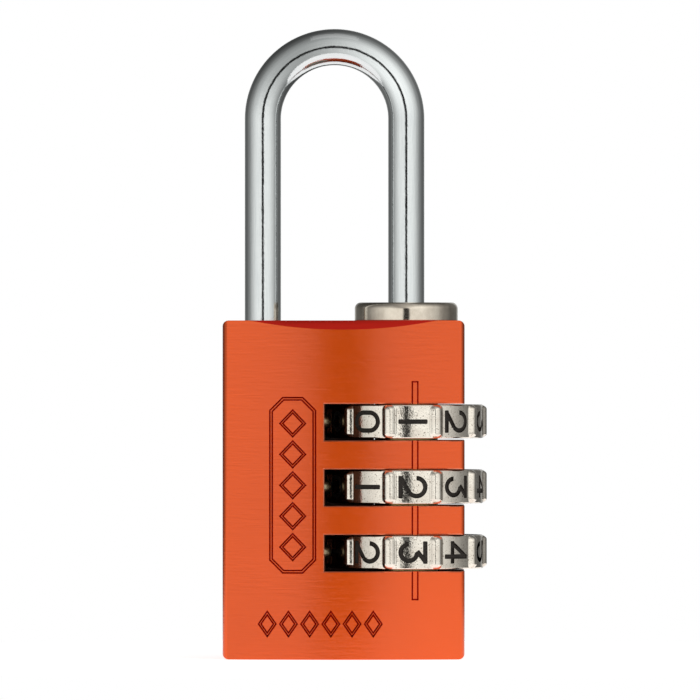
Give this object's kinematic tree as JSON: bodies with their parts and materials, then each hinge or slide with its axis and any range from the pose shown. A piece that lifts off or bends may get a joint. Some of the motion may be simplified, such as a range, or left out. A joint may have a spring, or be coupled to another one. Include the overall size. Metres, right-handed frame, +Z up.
{
  "type": "combination padlock",
  "caption": "Small combination padlock with a bowed block body, ribbed number dials standing out of side slots, and a tall round bar shackle that lifts.",
  "frame": {"origin": "middle of the body's flat foot", "axes": "+Z up along the legs, -Y out of the front with the index line, +X towards the dials' open side"},
  "size_m": [0.0219, 0.0132, 0.0522],
  "materials": {
    "anodised_aluminium": "orange anodised, brushed across",
    "nickel_collar": "satin nickel, turned",
    "nickel_dial": "satin nickel with black numbers",
    "plated_bar": "bright plated steel",
    "plain_steel": "plain",
    "spring_steel": "drawn wire",
    "sleeve_brass": "turned"
  },
  "bodies": {
    "case": {"lock_body": "anodised_aluminium", "top_collar": "nickel_collar", "reset_spring": "spring_steel", "detent_spring_1": "spring_steel", "detent_spring_2": "spring_steel", "detent_spring_3": "spring_steel"},
    "shackle": {"shackle": "plated_bar", "locking_pin_1": "plain_steel", "locking_pin_2": "plain_steel", "locking_pin_3": "plain_steel"},
    "dial_1": {"dial_1": "nickel_dial"},
    "dial_2": {"dial_2": "nickel_dial"},
    "dial_3": {"dial_3": "nickel_dial"},
    "sleeve_1": {"clutch_sleeve_1": "sleeve_brass"},
    "sleeve_2": {"clutch_sleeve_2": "sleeve_brass"},
    "sleeve_3": {"clutch_sleeve_3": "sleeve_brass"},
    "washer": {"thrust_washer": "plain_steel"},
    "detent_1": {"detent_ball_1": "plain_steel"},
    "detent_2": {"detent_ball_2": "plain_steel"},
    "detent_3": {"detent_ball_3": "plain_steel"}
  },
  "joints": [
    {"name": "shackle_lift", "type": "slide", "parent": "case", "child": "shackle", "axis": [0, 0, 1], "range_m": [0, 0.004]},
    {"name": "dial_1_turn", "type": "hinge", "parent": "case", "child": "dial_1", "pos_m": [0.0052, 0, 0.01965], "axis": [0, 0, 1], "continuous": true},
    {"name": "dial_2_turn", "type": "hinge", "parent": "case", "child": "dial_2", "pos_m": [0.0052, 0, 0.01425], "axis": [0, 0, 1], "continuous": true},
    {"name": "dial_3_turn", "type": "hinge", "parent": "case", "child": "dial_3", "pos_m": [0.0052, 0, 0.00885], "axis": [0, 0, 1], "continuous": true},
    {"name": "sleeve_1_press", "type": "slide", "parent": "dial_1", "child": "sleeve_1", "axis": [0, 0, -1], "range_m": [0, 0.0012], "stiffness_N_per_m": 200, "springref_m": -0.003, "deforming": ["reset_spring"]},
    {"name": "sleeve_2_press", "type": "slide", "parent": "dial_2", "child": "sleeve_2", "axis": [0, 0, -1], "range_m": [0, 0.0012], "stiffness_N_per_m": 200, "springref_m": -0.003},
    {"name": "sleeve_3_press", "type": "slide", "parent": "dial_3", "child": "sleeve_3", "axis": [0, 0, -1], "range_m": [0, 0.0012], "stiffness_N_per_m": 200, "springref_m": -0.003},
    {"name": "washer_press", "type": "slide", "parent": "case", "child": "washer", "axis": [0, 0, -1], "range_m": [0, 0.0012], "stiffness_N_per_m": 200, "springref_m": -0.003},
    {"name": "detent_1_seat", "type": "slide", "parent": "case", "child": "detent_1", "axis": [1, 0, 0], "range_m": [0, 0.0004], "stiffness_N_per_m": 100, "springref_m": 0.002, "deforming": ["detent_spring_1"]},
    {"name": "detent_2_seat", "type": "slide", "parent": "case", "child": "detent_2", "axis": [1, 0, 0], "range_m": [0, 0.0004], "stiffness_N_per_m": 100, "springref_m": 0.002, "deforming": ["detent_spring_2"]},
    {"name": "detent_3_seat", "type": "slide", "parent": "case", "child": "detent_3", "axis": [1, 0, 0], "range_m": [0, 0.0004], "stiffness_N_per_m": 100, "springref_m": 0.002, "deforming": ["detent_spring_3"]}
  ],
  "couplings": [
    {"joint": "sleeve_2_press", "follows": "sleeve_1_press", "ratio": 1},
    {"joint": "sleeve_3_press", "follows": "sleeve_1_press", "ratio": 1},
    {"joint": "washer_press", "follows": "sleeve_1_press", "ratio": 1}
  ]
}
